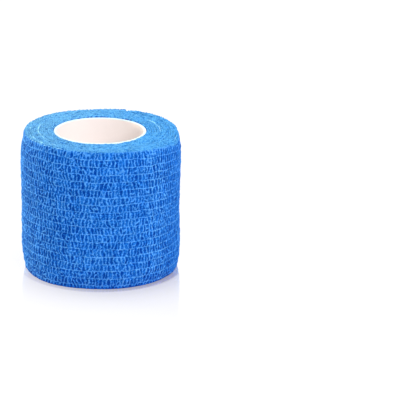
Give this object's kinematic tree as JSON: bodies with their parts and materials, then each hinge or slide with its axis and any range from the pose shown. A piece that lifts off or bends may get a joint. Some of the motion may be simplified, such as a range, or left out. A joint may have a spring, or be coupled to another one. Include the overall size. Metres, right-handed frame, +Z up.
{
  "type": "cohesive bandage roll",
  "caption": "Self-sticking elastic bandage wound on a thin round core, standing on one end, with rows of small puckers along the strip and its loose end stuck down.",
  "frame": {"origin": "middle of the roll's outline, on the surface that it stands on", "axes": "+Z up along the roll's axis; the strip's loose end lies about 71 degrees round from +X, at the back"},
  "size_m": [0.0568, 0.0571, 0.0501],
  "materials": {
    "bandage_cloth": "matte puckered nonwoven cloth with a soft sheen",
    "core_board": "smooth white paperboard"
  },
  "bodies": {
    "root": {"bandage_roll": "bandage_cloth", "core_tube": "core_board"}
  },
  "joints": []
}
